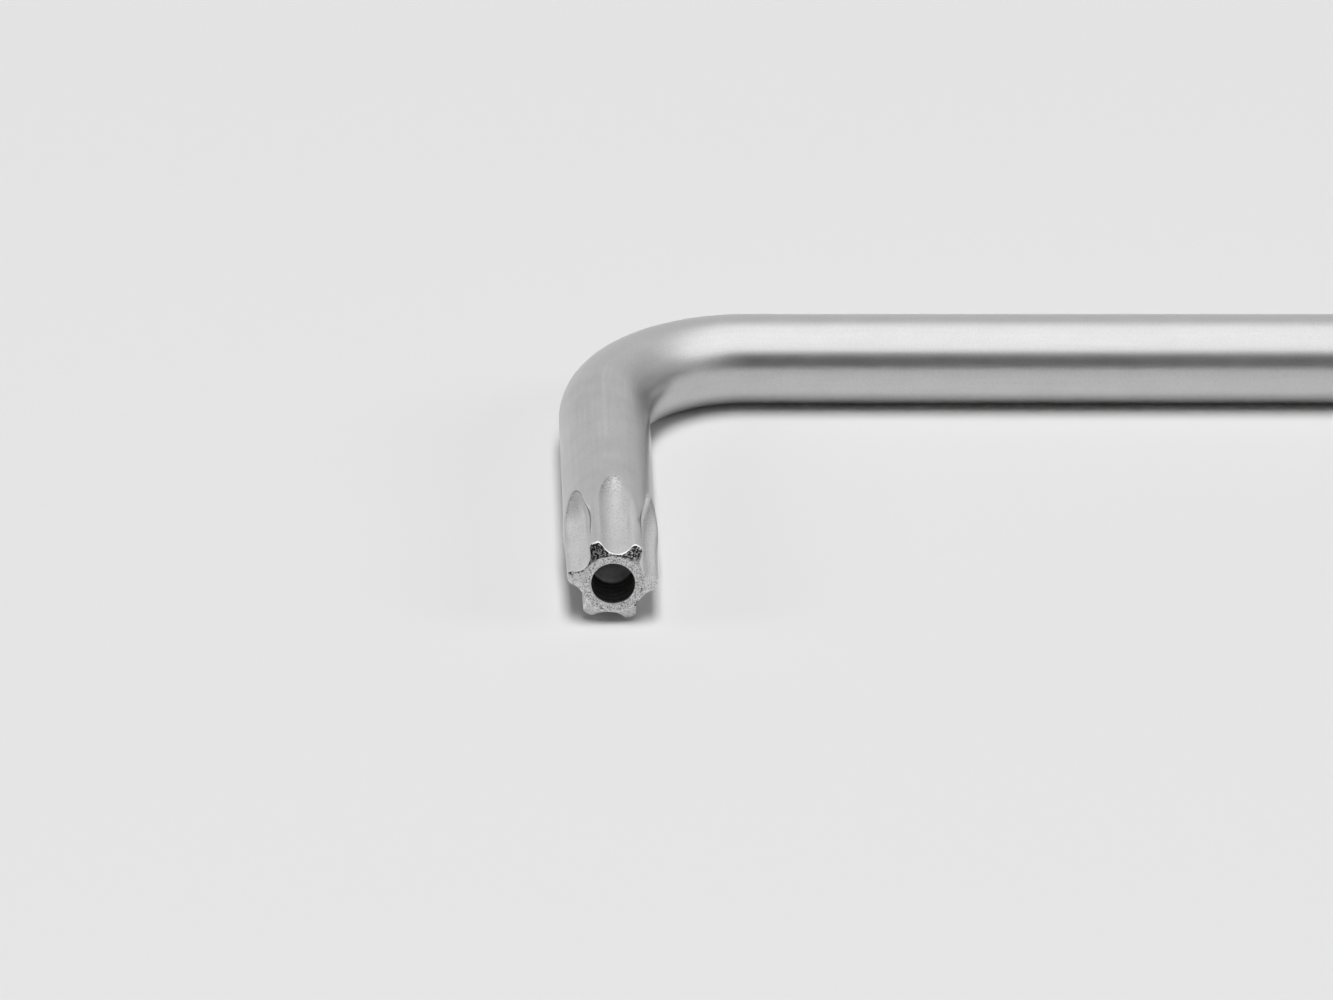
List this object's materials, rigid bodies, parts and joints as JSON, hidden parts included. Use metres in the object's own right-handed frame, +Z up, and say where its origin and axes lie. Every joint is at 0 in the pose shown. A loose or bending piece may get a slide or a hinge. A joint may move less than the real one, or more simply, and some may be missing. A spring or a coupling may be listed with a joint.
{
  "type": "star-drive key",
  "caption": "L-shaped round steel key with a star-shaped end and a pin hole, for turning tamper-resistant star-drive screws.",
  "frame": {"origin": "centre of the key's footprint, on the surface that it lies on", "axes": "+X along the long arm towards its plain end, +Z up out of the surface; the short arm and its star point towards -Y"},
  "size_m": [0.07, 0.0245, 0.004],
  "materials": {
    "satin_steel": "fine-blasted and plated, satin"
  },
  "bodies": {
    "root": {"star_key": "satin_steel"}
  },
  "joints": []
}
